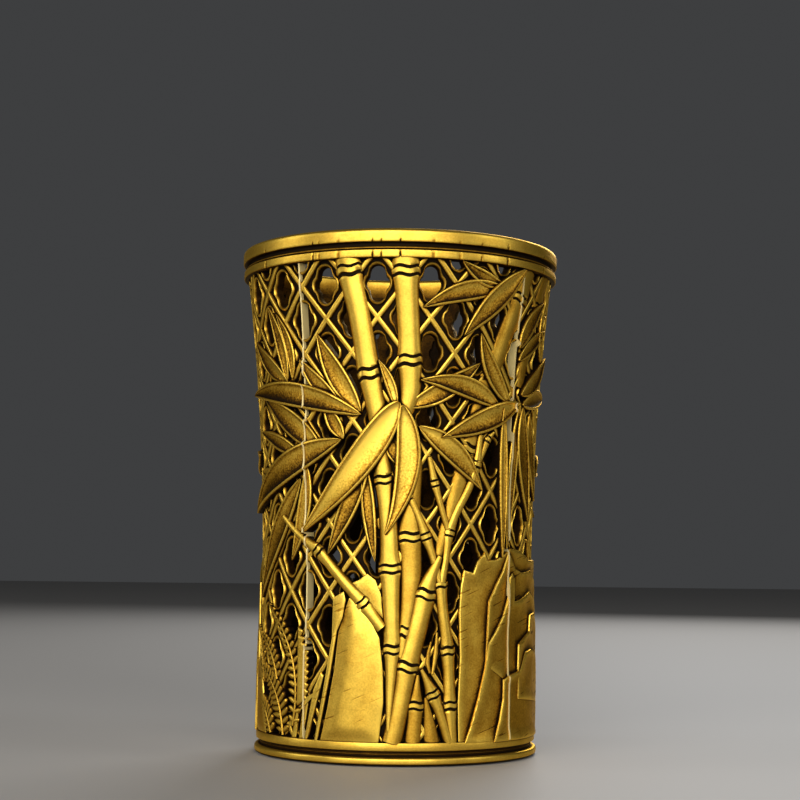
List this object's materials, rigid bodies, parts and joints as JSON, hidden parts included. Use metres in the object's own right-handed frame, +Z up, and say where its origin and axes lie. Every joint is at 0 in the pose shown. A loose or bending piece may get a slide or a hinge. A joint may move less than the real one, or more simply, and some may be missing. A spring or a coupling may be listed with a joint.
{
  "type": "pen holder cup",
  "caption": "Flared cylindrical pen cup with an openwork cast brass wall of bamboo relief over a quatrefoil lattice, between moulded rim and foot rings.",
  "frame": {"origin": "middle of the pad's underside, on the desk", "axes": "+Z up along the cup's axis; the front of the relief faces -Y; +X to the right seen from the front"},
  "size_m": [0.0768, 0.0768, 0.12],
  "materials": {
    "antique_brass": "antiqued: satin gold on the raised work, dark brown patina in the recesses",
    "seam_solder": "bright worn line",
    "floor_brass": "dull, darkened",
    "screw_steel": "satin",
    "pad_rubber": "matt, finely ribbed"
  },
  "bodies": {
    "root": {"rim_ring": "antique_brass", "wall_panel_front": "antique_brass", "wall_panel_right": "antique_brass", "wall_panel_back": "antique_brass", "wall_panel_left": "antique_brass", "seam_solder": "seam_solder", "foot_ring": "antique_brass", "floor_plate": "floor_brass", "floor_screws": "screw_steel", "base_pad": "pad_rubber"}
  },
  "joints": []
}
